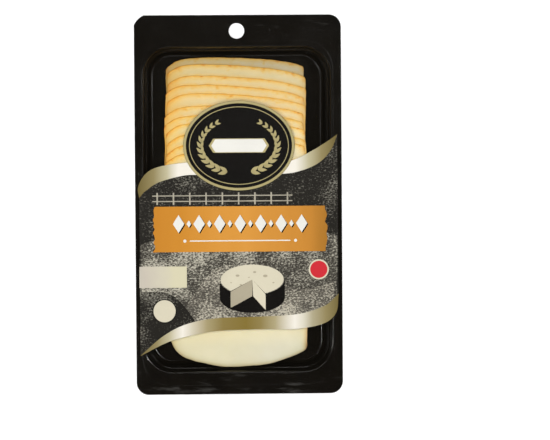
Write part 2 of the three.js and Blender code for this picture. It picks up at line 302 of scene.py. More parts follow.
# Half of a cut through the well: each corner's distance in from the mouth, its height and its radius
ledge_in = (TRAY_HEIGHT - LEDGE_Z) * WALL_LEAN
foot_in = ledge_in + LEDGE_WIDTH + (LEDGE_Z - LEDGE_FALL - SHEET) * WALL_LEAN
wall_section = [
    (-FLOOR_BORDER, TRAY_HEIGHT, 0),
    (0, TRAY_HEIGHT, MOUTH_ROUNDING),
    (ledge_in, LEDGE_Z, LEDGE_ROUNDING),
    (ledge_in + LEDGE_WIDTH, LEDGE_Z - LEDGE_FALL, LEDGE_ROUNDING),
    (foot_in, SHEET, FOOT_ROUNDING),
    (foot_in + FLOOR_BORDER, SHEET, 0),
]
inside, outside = (
    [ring_at(well_outline(*MOUTH, p.x), p.y) for p in round_section(section)]
    for section in (wall_section, sheet_side(wall_section, SHEET))
)
edge = [
    ring_at(pack_outline(EDGE_FLAT), TRAY_HEIGHT - SHEET),
    ring_at(pack_outline(EDGE_ROUNDING), TRAY_HEIGHT - SHEET),
    ring_at(pack_outline(0), TRAY_HEIGHT - SHEET + EDGE_ROUNDING),
    ring_at(pack_outline(0), TRAY_HEIGHT - EDGE_ROUNDING),
    ring_at(pack_outline(EDGE_ROUNDING), TRAY_HEIGHT),
    ring_at(pack_outline(EDGE_FLAT), TRAY_HEIGHT),
]
bead = [ring_at(well_outline(*SEAM, inset), TRAY_HEIGHT + rise) for inset, rise in SEAM_BEAD]
rings = [*reversed(outside), *edge, *bead, *inside]
tray = mesh_piece("tray_shell", *loft(rings, [WELL_X, WELL_Y, 0], [WELL_X, WELL_Y, SHEET]), black_sheet, 50)
punch(tray)
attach(tray, "root")
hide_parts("tray")


# Cheese. Twelve slices off one loaf, each cut 1.75 mm thick, with the loaf's orange rind as a thin rim. They
# lie shingled on the tray's floor, and past the near end of the first one they bend down together.
SLICE_LENGTH, SLICE_THICKNESS = 125.2, 1.75
# A slice's two ends, each a smooth line from side to side. The far one's heights are counted from its top and
# the near one's from its lowest point.
FAR_END = [
    (42.9, -8.6), (41.6, -6.8), (30, -3.6), (12, -1.5), (-12, -0.2), (-32, -0.8), (-40.6, -4.4), (-42.9, -7),
]
NEAR_END = [
    (-42.9, 19.1), (-37, 8.8), (-25, 3.1), (-6.4, 0), (18.4, 1.9), (32, 6.1), (41.2, 10.3), (42.9, 13.9),
]
RIM_ROUNDING, UNEVENNESS, FACE_UNEVENNESS, SEED_STEP = 0.3, 1.5, 0.035, 3.7
LAYER_RISE = 1.85
PILE_X, PILE_Z, FIRST_SLICE_TOP_Y = -0.5, 0.6, 91.5
DRAPE_SLOPE, BEND_LENGTH, LEFT_OF_PILE = 0.11, 18, 45
# For each slice: how far it lies below the last one, its turn in degrees, and how far it is off to the side
SLICES = [
    (0, 1.2, 0.2), (4.9, -1, -0.9), (7.2, -1.4, -1), (5.6, -1.2, -2.2), (5.3, -0.9, -1.1), (6.8, 1.7, -0.2),
    (5.6, 2.2, 0), (4.8, 2, 0.9), (6.4, 2.2, 1.6), (5.1, 4.4, 2.9), (7.7, 0.4, -1.1), (7.3, -0.8, 0.2),
]
# The blank's rings of points, as shares of the way from its rim to its middle
BLANK_SPACING = 1.6
BLANK_RINGS = [
    0, 0.0015, 0.004, 0.008, 0.014, 0.024, 0.04, 0.06, 0.09, 0.13, 0.18, 0.25, 0.34, 0.45, 0.58, 0.73, 0.88,
]


def spline(points, steps=16):
    """A smooth line through points of any number of coordinates."""
    points = np.array(points, float)
    padded = np.vstack([2 * points[0] - points[1], points, 2 * points[-1] - points[-2]])
    line = []
    for p0, p1, p2, p3 in zip(padded, padded[1:], padded[2:], padded[3:]):
        for t in np.linspace(0, 1, steps, endpoint=False):
            line.append(p1 + (p2 - p0) * t / 2 + (2 * p0 - 5 * p1 + 4 * p2 - p3) * t ** 2 / 2
                        + (3 * (p1 - p2) + p3 - p0) * t ** 3 / 2)
    return np.array([*line, points[-1]])


def looped(line):
    """The line with its first point once more at its end."""
    return np.vstack([line, line[:1]])


def even(points, spacing, closed=True):
    """The same line with its points evenly spaced."""
    if closed:
        points = looped(points)
    run = np.concatenate([[0], np.cumsum(np.linalg.norm(np.diff(points, axis=0), axis=1))])
    count = round(run[-1] / spacing)
    at = np.linspace(0, run[-1], count, endpoint=False) if closed else np.linspace(0, run[-1], count + 1)
    return np.column_stack([np.interp(at, run, points[:, 0]), np.interp(at, run, points[:, 1])])


def distance_to_line(points, line):
    """The shortest distance from each point to an open line."""
    run = np.diff(line, axis=0)
    share = ((points[:, None] - line[:-1]) * run).sum(2) / (run ** 2).sum(1)
    nearest = line[:-1] + np.clip(share, 0, 1)[..., None] * run
    return np.linalg.norm(points[:, None] - nearest, axis=2).min(1)


def turned(points, degrees):
    angle = math.radians(degrees)
    return points @ np.array([(math.cos(angle), math.sin(angle)), (-math.sin(angle), math.cos(angle))])


# The slice's middle is at the origin of these lines
far_line = spline(FAR_END) + (0, SLICE_LENGTH / 2)
near_line = spline(NEAR_END) - (0, SLICE_LENGTH / 2)


def slice_blank(name, material, cover_line, height):
    """A flat slice with no thickness, which the next slice covers up to a line.

    It holds each point's distances in millimetres from the rim, the ends, the sides and that line, and its
    place along the slice and up the pile, both as shares.
    """
    outline = even(np.vstack([far_line, near_line]), BLANK_SPACING)
    rings = [ring_at(outline * (1 - share), 0) for share in BLANK_RINGS]
    count = len(outline)
    points = np.vstack([*rings, [[0, 0, 0]]])
    low = (len(rings) - 1) * count
    faces = []
    for step in range(count):
        faces += bands(len(rings), count, step)
        faces.append((low + step, low + (step + 1) % count, len(points) - 1))
    blank = mesh_piece(name, points, faces, material)
    flat = points[:, :2]
    above = np.sign(flat[:, 1] - np.interp(flat[:, 0], cover_line[::-1, 0], cover_line[::-1, 1]))
    measured = {
        "rim_mm": distance_to_line(flat, looped(outline)),
        "far_end_mm": distance_to_line(flat, far_line),
        "near_end_mm": distance_to_line(flat, near_line),
        "side_mm": np.minimum(distance_to_line(flat, np.vstack([far_line[-1:], near_line[:1]])),
                              distance_to_line(flat, np.vstack([near_line[-1:], far_line[:1]]))),
        "cover_mm": above * distance_to_line(flat, cover_line),
        "along": np.clip(flat[:, 1] / SLICE_LENGTH + 0.5, 0, 1),
        "height": np.full(len(flat), height),
    }
    for measure, values in measured.items():
        kept = blank.data.attributes.new(measure, "FLOAT", "POINT")
        kept.data.foreach_set("value", values.astype(np.float32))
    return blank


def new_maker(name, **inputs):
    """A Geometry Nodes tree with named inputs. Returns it with their sockets and their identifiers."""
    tree = bpy.data.node_groups.new(name, "GeometryNodeTree")
    face = tree.interface
    for way in ("INPUT", "OUTPUT"):
        face.new_socket("Geometry", in_out=way, socket_type="NodeSocketGeometry")
    names = {
        key: face.new_socket(key, in_out="INPUT", socket_type=f"NodeSocket{kind}").identifier
        for kind, keys in inputs.items() for key in keys.split(", ")
    }
    return tree, add_node(tree, "NodeGroupInput"), names


def end_maker(tree, geometry, material):
    """The tree's last step, in which all that it has placed becomes one mesh with its material."""
    whole = add_node(tree, "GeometryNodeRealizeInstances", {0: geometry})[0]
    finished = add_node(tree, "GeometryNodeSetMaterial", {"Geometry": whole, "Material": material})[0]
    add_node(tree, "NodeGroupOutput", {0: finished})


def grow(piece, tree, names, values):
    """Runs a Geometry Nodes tree on a piece and keeps the mesh that it makes."""
    maker = piece.modifiers.new(tree.name, "NODES")
    maker.node_group = tree
    for name, value in values.items():
        maker[names[name]] = value
    bake_modifiers(piece)


def join(tree, *parts):
    joined = add_node(tree, "GeometryNodeJoinGeometry")[0]
    for part in parts:
        tree.links.new(part, joined.node.inputs[0])
    return joined


def vector(tree, **parts):
    return add_node(tree, "ShaderNodeCombineXYZ", parts)[0]


def vector_calc(operation, *values):
    return calc(operation, *values, kind="ShaderNodeVectorMath")


def slice_maker():
    """Geometry Nodes that turn the flat blank into one slice of the pile."""
    tree, given, names = new_maker(
        "cheese_slice", Vector="Place, Turn", Material="Cheese",
        Float="Lift, Thickness, Rim Rounding, Bend Start, Bend Length, Bend Slope, Unevenness, Seed",
    )
    rounding, bend_length = given["Rim Rounding"], given["Bend Length"]

    # The flat slice, raised into a plate: the blank is its underside and the extruded copy its top and rim
    raised = add_node(tree, "GeometryNodeExtrudeMesh", {
        "Mesh": given["Geometry"], "Offset": vector(tree, Z=1.0), "Offset Scale": given["Thickness"],
        "Individual": False,
    }, mode="FACES")["Mesh"]
    under = add_node(tree, "GeometryNodeFlipFaces", {"Mesh": given["Geometry"]})[0]
    plate = add_node(tree, "GeometryNodeMergeByDistance", {
        "Geometry": join(tree, under, raised), "Distance": 0.002 * MM,
    })[0]

    # The rim's edges are rounded: top and underside draw together close to it
    position = add_node(tree, "GeometryNodeInputPosition")[0]
    height = add_node(tree, "ShaderNodeSeparateXYZ", {0: position})["Z"]
    rim = add_node(tree, "GeometryNodeInputNamedAttribute", {"Name": "rim_mm"}, data_type="FLOAT")[0]
    short = minus(rounding, product(rim, MM))
    short = calc("POWER", calc("MAXIMUM", short, 0), 2)
    drop = minus(rounding, calc("SQRT", minus(calc("POWER", rounding, 2), short)))
    side = calc("SIGN", minus(height, product(given["Thickness"], 0.5)))
    inwards = vector(tree, Z=product(product(side, drop), -1))
    rounded = add_node(tree, "GeometryNodeSetPosition", {"Geometry": plate, "Offset": inwards})[0]
    placed = add_node(tree, "GeometryNodeTransform", {
        "Geometry": rounded, "Translation": given["Place"], "Rotation": given["Turn"],
    })[0]

    # It bends down over the end of the first slice
    along = add_node(tree, "ShaderNodeSeparateXYZ", {0: position})["Y"]
    beyond = minus(given["Bend Start"], along)
    bent = calc("MINIMUM", calc("MAXIMUM", beyond, 0), bend_length)
    curve = calc("DIVIDE", product(bent, bent), product(bend_length, 2))
    tail = calc("MAXIMUM", minus(beyond, bend_length), 0)
    fall = product(plus(curve, tail), given["Bend Slope"])
    lift = vector(tree, Z=minus(given["Lift"], fall))

    # Its outline wanders by a few tenths of a millimetre, and its faces by far less
    wander = add_node(tree, "ShaderNodeTexNoise", {
        "Vector": position, "W": given["Seed"], "Scale": 90, "Detail": 4, "Roughness": 0.55,
    }, noise_dimensions="4D")["Color"]
    wander = vector_calc("SUBTRACT", wander, (0.5, 0.5, 0.5))
    wander = vector_calc("MULTIPLY", wander, (1, 1, FACE_UNEVENNESS))
    wander = vector_calc("MULTIPLY", wander, given["Unevenness"])
    offset = vector_calc("ADD", lift, wander)
    laid = add_node(tree, "GeometryNodeSetPosition", {"Geometry": placed, "Offset": offset})[0]
    end_maker(tree, laid, given["Cheese"])
    return tree, names


def own_place(tree, axis):
    """Each point's place on the piece along an axis, in metres."""
    place = add_node(tree, "ShaderNodeTexCoord")["Object"]
    return add_node(tree, "ShaderNodeSeparateXYZ", {0: place})[axis]


def swing(pattern, width):
    """A pattern from 0 to 1 as a swing of a width round zero."""
    return product(minus(pattern, 0.5), width)


def times(colour, tint):
    values = {0: 1.0, 6: colour, 7: tint}
    return add_node(colour.id_data, "ShaderNodeMix", values, data_type="RGBA", blend_type="MULTIPLY")[2]


def tinted(colour, distance, *stops):
    """The colour times a tint that changes with a distance. Each stop is a place in mm and a tint."""
    reach = stops[-1][0]
    return times(colour, ramp(calc("DIVIDE", distance, reach), *[(mm / reach, tint) for mm, tint in stops]))


cheese, tree, shader = new_finish(
    "muenster", Roughness=0.46, IOR=1.45, Specular_IOR_Level=0.25, Subsurface_Weight=0.15,
    Subsurface_Scale=0.002,
)
shader.inputs["Subsurface Radius"].default_value = (1, 0.7, 0.35)
far_end_mm, near_end_mm, side_mm, cover_mm, along, height = (
    add_node(tree, "ShaderNodeAttribute", attribute_name=name)["Fac"]
    for name in ("far_end_mm", "near_end_mm", "side_mm", "cover_mm", "along", "height")
)

# The paste is greyer at the near end and warmer further along the slice. The brighter step a fifth of the way
# along is painted light, which makes up for the shadow that the printed ribbon casts there.
paste_and_painted_light = ramp(
    along, (0, (0.69, 0.66, 0.52)), (0.1, (0.69, 0.655, 0.505)), (0.2, (0.82, 0.74, 0.5)),
    (0.6, (0.81, 0.69, 0.44)),
)
# The lower slices are painted cooler and darker: painted shade, where the tray's walls shade the bottom of
# the pile.
painted_pile_shade = ramp(
    height, (0, (0.565, 0.58, 0.6)), (0.09, (0.805, 0.78, 0.68)), (0.2, (0.88, 0.82, 0.68)),
    (0.4, (0.93, 0.87, 0.76)), (0.6, (0.98, 0.98, 0.96)),
)

# The rind's ragged orange line at the far end, and the warm glow beside it on the slice below. A little way
# from the edge of the slice above, the paste is painted slightly darker: painted shade at the foot of that
# step.
ragged = swing(noise(tree, 260, 4, 0.7), 2.6)
spots = calc("MAXIMUM", minus(noise(tree, 330, 2, 0.6), 0.56), 0)
from_far_end = minus(plus(plus(far_end_mm, 0.5), ragged), product(spots, 9))
from_cover = plus(calc("MAXIMUM", cover_mm, 0), ragged)
colour = tinted(
    times(paste_and_painted_light, painted_pile_shade), from_far_end, (0, (0.84, 0.44, 0.07)), (0.5, (0.97, 0.62, 0.14)),
    (0.85, (0.99, 0.67, 0.17)), (1.4, (1, 0.78, 0.36)), (2, (1, 0.86, 0.53)), (2.7, (1, 0.91, 0.69)),
    (3.5, (0.98, 0.945, 0.86)), (5, (0.96, 0.96, 0.96)),
)
# Beside the edge of the slice above: a warm tint, then a slight painted shade of the step.
colour = tinted(
    colour, from_cover, (0, (1, 0.83, 0.42)), (0.5, (0.98, 0.85, 0.56)), (1.1, (0.95, 0.9, 0.77)),
    (2.2, (0.93, 0.94, 0.93)), (5, (1, 1, 1)),
)
colour = tinted(
    colour, near_end_mm, (0, (0.62, 0.56, 0.45)), (0.6, (0.7, 0.64, 0.53)), (1.2, (0.82, 0.79, 0.7)),
    (2.4, (0.93, 0.925, 0.89)), (5, (1, 1, 1)),
)
colour = tinted(
    colour, side_mm, (0, (0.87, 0.74, 0.54)), (1.2, (0.92, 0.84, 0.7)), (2.4, (0.97, 0.94, 0.86)),
    (4.5, (1, 1, 1)),
)

# The pile is warmer towards its left side, and the front slice's right side shows a thin line of rind
from_left = product(plus(own_place(tree, "X"), LEFT_OF_PILE * MM), 1 / MM)
from_left = plus(from_left, product(minus(1, along), 9))
colour = tinted(
    colour, from_left, (0, (0.97, 0.83, 0.44)), (7, (0.98, 0.85, 0.51)), (13, (0.99, 0.94, 0.77)),
    (18, (1, 0.97, 0.85)), (45, (1, 0.98, 0.89)), (75, (1, 1, 1)), (84, (0.99, 0.99, 0.985)),
    (89, (0.95, 0.955, 0.93)), (92.2, (0.95, 0.945, 0.91)), (93.2, (0.92, 0.86, 0.78)),
    (94, (0.85, 0.73, 0.64)), (94.8, (0.74, 0.6, 0.52)),
)
mottle = ramp(noise(tree, 90, 4, 0.6), (0.3, (0.94, 0.93, 0.9)), (0.7, (1, 1, 1)))
feed(shader, times(colour, mottle))
grain = plus(noise(tree, 260, 4, 0.6), product(noise(tree, 1500, 2), 0.25))
feed(shader, bump(grain, 0.12, 0.5), "Normal")

make_slice, slice_inputs = slice_maker()
top_y = FIRST_SLICE_TOP_Y - np.cumsum([advance for advance, _, _ in SLICES])
middles = [np.array((PILE_X + aside, y - SLICE_LENGTH / 2)) for (_, _, aside), y in zip(SLICES, top_y)]
for layer, (_, turn, _) in enumerate(SLICES):
    if layer + 1 < len(SLICES):
        cover_line = turned(far_line, SLICES[layer + 1][1]) + middles[layer + 1]
    else:
        cover_line = far_line - (0, 2 * SLICE_LENGTH)
    cover_line = turned(cover_line - middles[layer], -turn)
    name = f"cheese_slice_{layer + 1:02d}"
    cheese_slice = slice_blank(name, cheese, cover_line, layer / (len(SLICES) - 1))
    grow(cheese_slice, make_slice, slice_inputs, {
        "Place": Vector((*middles[layer], 0)) * MM,
        "Turn": (0.0, 0.0, math.radians(turn)),
        "Lift": (PILE_Z + layer * LAYER_RISE) * MM,
        "Thickness": SLICE_THICKNESS * MM,
        "Rim Rounding": RIM_ROUNDING * MM,
        "Bend Start": (FIRST_SLICE_TOP_Y - SLICE_LENGTH) * MM,
        "Bend Length": BEND_LENGTH * MM,
        "Bend Slope": DRAPE_SLOPE,
        "Unevenness": UNEVENNESS * MM,
        "Seed": layer * SEED_STEP,
        "Cheese": cheese,
    })
    cheese_slice.data.shade_smooth()
    cheese_slice.data.set_sharp_from_angle(angle=math.radians(60))
    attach(cheese_slice, "root")
    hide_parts(f"slice_{layer + 1:02d}")


# Clear film. A thin plastic web, heat sealed to the flange and punched with it. It is taut over the well,
# with a slight sag and faint waves. It carries faint pale streaks, most of them across its sealed ends:
# scuffs, and painted glints where the seal puckers.
FILM_INSET, FILM_BOTTOM, FILM_THICKNESS = 0.4, 24.12, 0.08
FILM_SAG, FILM_WAVES = 0.25, 0.03
FILM_SPACING, FILM_EDGE_SPACING, HOLE_SPACING = 1.6, 1.2, 0.5
ROW_STEP, EDGE_CLEARANCE = 0.866, 0.45
SEAL_FROM, SEAL_TO = 98, 103


def film_wave(x, y):
    """How far the film stands above its flat place, in millimetres."""
    across = np.cos(np.clip((x - WELL_X) / (MOUTH[0] / 2), -1, 1) * math.pi / 2)
    along = np.cos(np.clip((y - WELL_Y) / (MOUTH[1] / 2), -1, 1) * math.pi / 2)
    waves = np.sin(x / 7.5 + 0.6 * np.sin(y / 21)) * np.sin(y / 15.5 + 0.8)
    return across * along * (FILM_WAVES * waves - FILM_SAG)


def inside_loop(points, loop):
    """Whether each point is inside a closed loop."""
    x, y = points[:, 0, None], points[:, 1, None]
    (x0, y0), (x1, y1) = loop.T, np.roll(loop, -1, axis=0).T
    crosses = (y0 > y) != (y1 > y)
    with np.errstate(divide="ignore", invalid="ignore"):
        hits = crosses & (x < (x1 - x0) * (y - y0) / (y1 - y0) + x0)
    return hits.sum(1) % 2 == 1


def thin_sheet(name, loops, material, bottom, thickness, spacing):
    """A thin flat closed sheet. The first loop is its outline and the others are holes."""
    low, high = loops[0].min(0), loops[0].max(0)
    columns = np.arange(low[0] + spacing / 2, high[0], spacing)
    rows = np.arange(low[1] + spacing / 2, high[1], spacing * ROW_STEP)
    grid = [(x + spacing / 2 * (row % 2), y) for row, y in enumerate(rows) for x in columns]
    grid = np.array(grid).reshape(-1, 2)
    grid = grid[inside_loop(grid, loops[0])]
    for loop in loops:
        grid = grid[distance_to_line(grid, looped(loop)) > spacing * EDGE_CLEARANCE]
    for hole in loops[1:]:
        grid = grid[~inside_loop(grid, hole)]
    edges, start = [], 0
    for loop in loops:
        edges += [(start + i, start + (i + 1) % len(loop)) for i in range(len(loop))]
        start += len(loop)
    flat = [Vector(p) for p in np.vstack([*loops, grid])]
    found, _, triangles, *_ = delaunay_2d_cdt(flat, edges, [], 1, 1e-5)
    found, triangles = np.array([tuple(p) for p in found]), np.array(triangles)
    centres = found[triangles].mean(1)
    keep = inside_loop(centres, loops[0])
    for hole in loops[1:]:
        keep &= ~inside_loop(centres, hole)
    triangles = [tuple(t) for t in triangles[keep].tolist()]
    sides = {pair for a, b, c in triangles for pair in ((a, b), (b, c), (c, a))}
    count = len(found)
    faces = triangles + [(c + count, b + count, a + count) for a, b, c in triangles]
    faces += [(b, a, a + count, b + count) for a, b in sides if (b, a) not in sides]
    points = np.vstack([ring_at(found, z) for z in (bottom + thickness, bottom)])
    return mesh_piece(name, points, faces, material, 40)


def lay_on_film(piece):
    """Moves each point of a flat piece up or down with the film's waves."""
    points = np.empty(len(piece.data.vertices) * 3, np.float32)
    piece.data.vertices.foreach_get("co", points)
    points = points.reshape(-1, 3)
    points[:, 2] += film_wave(points[:, 0] / MM, points[:, 1] / MM) * MM
    piece.data.vertices.foreach_set("co", points.ravel())
    piece.data.update()


def share_between(value, low_mm, high_mm, first=0.0):
    """A number that goes from a first one to 1 while a value in metres goes from place to place."""
    values = {0: value, 1: low_mm * MM, 2: high_mm * MM, 3: first, 4: 1.0}
    return add_node(value.id_data, "ShaderNodeMapRange", values)[0]


clear_film, tree, shader = new_finish("clear_film", IOR=1.5, Roughness=0.08, Alpha=0.08)
sealed = share_between(calc("ABSOLUTE", own_place(tree, "Y")), SEAL_FROM, SEAL_TO, 0.8)
# Pale streaks, mostly across the sealed ends: scuffs and painted glints of the seal's puckers.
scuffs_and_glints = product(noise(tree, 110, 5, 0.7, stretch=(0.4, 1.8, 1)), sealed)
feed(shader, ramp(scuffs_and_glints, (0.6, (0.008, 0.007, 0.005)), (0.74, (0.2, 0.195, 0.18))))
film_edge = even(pack_outline(FILM_INSET), FILM_EDGE_SPACING)
film_loops = [film_edge, oval(HANG_HOLE, HANG_HOLE_RADIUS, HOLE_SPACING)]
film = thin_sheet("clear_film", film_loops, clear_film, FILM_BOTTOM, FILM_THICKNESS, FILM_SPACING)
lay_on_film(film)
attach(film, "root")
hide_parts("lid_film")


# Printed field. Charcoal and cream ink on the film between the ribbons: a dark sky, and hills of grass in
# short speckled strokes, with a plain rail fence on the skyline. The inks are printed over each other.
INK_Z, INK_LAYER, INK_THICKNESS, INK_SPACING = 24.38, 0.022, 0.016, 2.6
# Each point of a ribbon is a place on its middle line and half its width there
LOWER_RIBBON = [
    (-61, -92.4, 0.1), (-45.7, -82.3, 2.3), (-31.6, -76.7, 3.7), (-13.9, -73.5, 3.9),
    (12.6, -72.7, 3.9), (37.4, -71.8, 4.5), (54.2, -66.6, 4.6), (61.1, -55.2, 0.1),
]
LEFT_RIBBON = [(-61, 4.9, 0.1), (-58.7, 11.2, 3), (-51, 18.2, 4.5), (-34.2, 22.1, 3.9), (-20, 22.3, 3.8)]
RIGHT_RIBBON = [(20, 22.4, 3.8), (33.9, 23.5, 3.8), (46.2, 28.6, 4.3), (54.5, 35.1, 3), (60.7, 42.8, 0.1)]
FIELD_SPACING = 2
FAR_CREST = [(-60.5, -24), (-40, -18), (-12, -16), (14, -17), (38, -14), (60.5, -19)]
NEAR_CREST = [(-40, -79), (-30, -58), (-12, -38), (12, -41), (36, -52), (58.5, -48)]
LEFT_CREST = [(-60.6, -53), (-44, -54), (-34, -62), (-24, -76)]
POST_WIDTH, POST_HEIGHT, POSTS = 0.9, 7.4, 9
FIRST_POST, LAST_POST = (-50, 4), (30, 4)
RAIL_LENGTH, RAIL_WIDTH, RAIL_X, RAIL_HEIGHTS = 86, 0.6, -10, (2.4, 5.8)


def new_ink(name):
    """A finish for ink, as new_finish returns it."""
    return new_finish(name, Roughness=0.24, IOR=1.5, Specular_IOR_Level=0.06)


def plain_ink(name, colour, worn=0.93):
    """Ink of one colour, a little uneven where the film took less of it."""
    finish, tree, shader = new_ink(name)
    patches = plus(noise(tree, 45, 3, 0.6), product(noise(tree, 900, 2), 0.3))
    feed(shader, ramp(patches, (0.45, [c * worn for c in colour]), (0.85, colour)))
    return finish


def speckled_ink(name, brightness, dark, pale):
    """Charcoal ink broken up by pale strokes. A brighter one has more of them."""
    finish, tree, shader = new_ink(name)
    strokes = noise(tree, 900, 4, 0.75, stretch=(0.8, 1.15, 1))
    cover = plus(plus(strokes, swing(noise(tree, 60, 3), 0.45)), brightness - 0.5)
    middle = [d * 0.6 + p * 0.4 for d, p in zip(dark, pale)]
    feed(shader, ramp(cover, (0.45, dark), (0.53, middle), (0.6, pale)))
    return finish


def ink_plate(name, loops, material, layer=0):
    """A flat plate of ink. Layers are counted up from the first one on the film."""
    return thin_sheet(name, loops, material, INK_Z + layer * INK_LAYER, INK_THICKNESS, INK_SPACING)


def print_ink(piece, node):
    lay_on_film(piece)
    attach(piece, "root")
    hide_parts(node)


def row_of_copies():
    """Geometry Nodes that set copies of a flat motif in a row, every second one at a size of its own."""
    tree, given, names = new_maker(
        "row_of_copies", Vector="Start, End", Int="Count", Float="Second Size", Material="Ink",
    )
    line = add_node(tree, "GeometryNodeMeshLine", {
        "Count": given["Count"], "Start Location": given["Start"], "Offset": given["End"],
    }, mode="END_POINTS")[0]
    second = calc("MODULO", add_node(tree, "GeometryNodeInputIndex")[0], 2)
    size = plus(1, product(second, minus(given["Second Size"], 1)))
    placed = add_node(tree, "GeometryNodeInstanceOnPoints", {
        "Points": line, "Instance": given["Geometry"], "Scale": vector(tree, X=size, Y=size, Z=1.0),
    })[0]
    end_maker(tree, placed, given["Ink"])
    return tree, names


def print_row(name, loop, ink, layer, start, end, count, node, second_size=1.0):
    motif = ink_plate(name, [loop], ink, layer)
    grow(motif, copies_tree, copies_inputs, {
        "Start": Vector((*start, 0)) * MM, "End": Vector((*end, 0)) * MM, "Count": count,
        "Second Size": second_size, "Ink": ink,
    })
    print_ink(motif, node)


def bar(width, height):
    corners = [(-0.5, -0.5), (0.5, -0.5), (0.5, 0.5), (-0.5, 0.5)]
    return np.array(corners) * (width, height)


def print_hill(name, crest, material, layer):
    """A hill from its crest line down to the middle of the lower ribbon."""
    line = even(spline(crest), FIELD_SPACING, closed=False)
    foot = lower_middle[(lower_middle[:, 0] > line[0, 0]) & (lower_middle[:, 0] < line[-1, 0])]
    line = line[line[:, 1] > np.interp(line[:, 0], foot[:, 0], foot[:, 1]) + 0.5]
    print_ink(ink_plate(name, [np.vstack([foot, line[::-1]])], material, layer), "lid_field")


copies_tree, copies_inputs = row_of_copies()
charcoal = speckled_ink("charcoal_ink", 0.42, (0.011, 0.01, 0.008), (0.17, 0.16, 0.13))
far_grass = speckled_ink("far_grass_ink", 0.48, (0.03, 0.027, 0.022), (0.33, 0.31, 0.25))
near_grass = speckled_ink("near_grass_ink", 0.51, (0.05, 0.045, 0.037), (0.34, 0.315, 0.25))
cream_line = plain_ink("cream_line_ink", (0.36, 0.33, 0.26), 0.6)

lower_middle, left_middle, right_middle = (
    even(spline(ribbon)[:, :2], FIELD_SPACING, closed=False)
    for ribbon in (LOWER_RIBBON, LEFT_RIBBON, RIGHT_RIBBON)
)
field = np.vstack([lower_middle, right_middle[::-1], left_middle[::-1]])
print_ink(ink_plate("print_field", [field], charcoal), "lid_field")
print_hill("print_far_hill", FAR_CREST, far_grass, 1)
print_hill("print_near_hill", NEAR_CREST, near_grass, 2)
print_hill("print_left_slope", LEFT_CREST, charcoal, 3)
post = bar(POST_WIDTH, POST_HEIGHT)
print_row("print_fence_posts", post, cream_line, 1, FIRST_POST, LAST_POST, POSTS, "lid_field")
for rail, height in enumerate(RAIL_HEIGHTS):
    rail_loop = bar(RAIL_LENGTH, RAIL_WIDTH) + (RAIL_X, height)
    plate = ink_plate(f"print_fence_rail_{rail + 1}", [rail_loop], cream_line, 2)
    print_ink(plate, "lid_field")


# Cheese wheel and spots. A simple picture of a cut wheel in cream and black ink on the near hill, and two
# plain round spots, one cream and one red. They are printed with the field.
WHEEL_CENTRE, WHEEL_RADIUS, WHEEL_RISE = (8, -46), (20, 9.5), 11
WHEEL_TOP_SHARE = 0.97
CUT_FROM, CUT_TO = math.radians(-132), math.radians(-66)
CUT_TOP_GAP, CUT_FOOT_GAP, CUT_MIDDLE_GAP = 0.4, 0.8, 0.5
# Each hole is its place from the middle of the wheel's top, and its radius
HOLES = [
    (-9, 2.5, 1.3), (-7, -3.2, 0.9), (1.5, 4.6, 1.1), (8, 2.2, 1.5), (13, -2, 0.8), (-13, -1.8, 0.7),
    (-2, 1.4, 0.7),
]
HOLE_FLATNESS = 0.55


def on_wheel(angle, drop=0, share=1.0):
    return (WHEEL_CENTRE[0] + WHEEL_RADIUS[0] * share * math.cos(angle),
            WHEEL_CENTRE[1] + WHEEL_RADIUS[1] * share * math.sin(angle) - drop)


def wheel_arc(start, end, drop=0, share=1.0, steps=40):
    return [on_wheel(a, drop, share) for a in np.linspace(start, end, steps)]


def print_shape(name, loop, ink, layer, node="lid_field"):
    print_ink(ink_plate(name, [even(np.array(loop, float), 0.8)], ink, layer), node)


cream_ink = plain_ink("cream_ink", (0.45, 0.415, 0.315))
shade_ink = plain_ink("shade_ink", (0.28, 0.25, 0.18))
black_ink = plain_ink("black_ink", (0.004, 0.0035, 0.0028), 0.8)
red_ink = plain_ink("red_ink", (0.4, 0.02, 0.028))
foot_x, foot_y = WHEEL_CENTRE[0], WHEEL_CENTRE[1] - WHEEL_RISE + CUT_FOOT_GAP
cut_drop = WHEEL_RISE - CUT_FOOT_GAP
print_shape("print_wheel_side", [*wheel_arc(-math.pi, 0), *wheel_arc(0, -math.pi, WHEEL_RISE)], black_ink, 3)
print_shape("print_wheel_top", wheel_arc(0, 2 * math.pi, 0, WHEEL_TOP_SHARE)[:-1], cream_ink, 4)
print_shape("print_cut_shade", [
    WHEEL_CENTRE, on_wheel(CUT_FROM), *wheel_arc(CUT_FROM, CUT_TO, WHEEL_RISE, steps=12), on_wheel(CUT_TO),
], black_ink, 5)
print_shape("print_cut_left", [
    WHEEL_CENTRE, on_wheel(CUT_FROM, CUT_TOP_GAP), on_wheel(CUT_FROM, cut_drop), (foot_x, foot_y),
], shade_ink, 6)
print_shape("print_cut_right", [
    WHEEL_CENTRE, (foot_x + CUT_MIDDLE_GAP, foot_y), on_wheel(CUT_TO, cut_drop),
    on_wheel(CUT_TO, CUT_TOP_GAP),
], cream_ink, 6)
for number, (x, y, radius) in enumerate(HOLES):
    hole = oval(np.add(WHEEL_CENTRE, (x, y)), (radius, radius * HOLE_FLATNESS), 0.3)
    print_shape(f"print_hole_{number + 1}", hole, shade_ink, 5)
for name, centre, radius, ink, rim_radius, rim_ink, layer in (
    ("cream", (-46, -65), 6.8, cream_ink, 7.4, black_ink, 4),
    ("red", (49, -40), 5.3, red_ink, 6.2, cream_ink, 3),
):
    print_shape(f"print_{name}_spot_rim", oval(centre, rim_radius), rim_ink, layer)
    print_shape(f"print_{name}_spot", oval(centre, radius), ink, layer + 1)


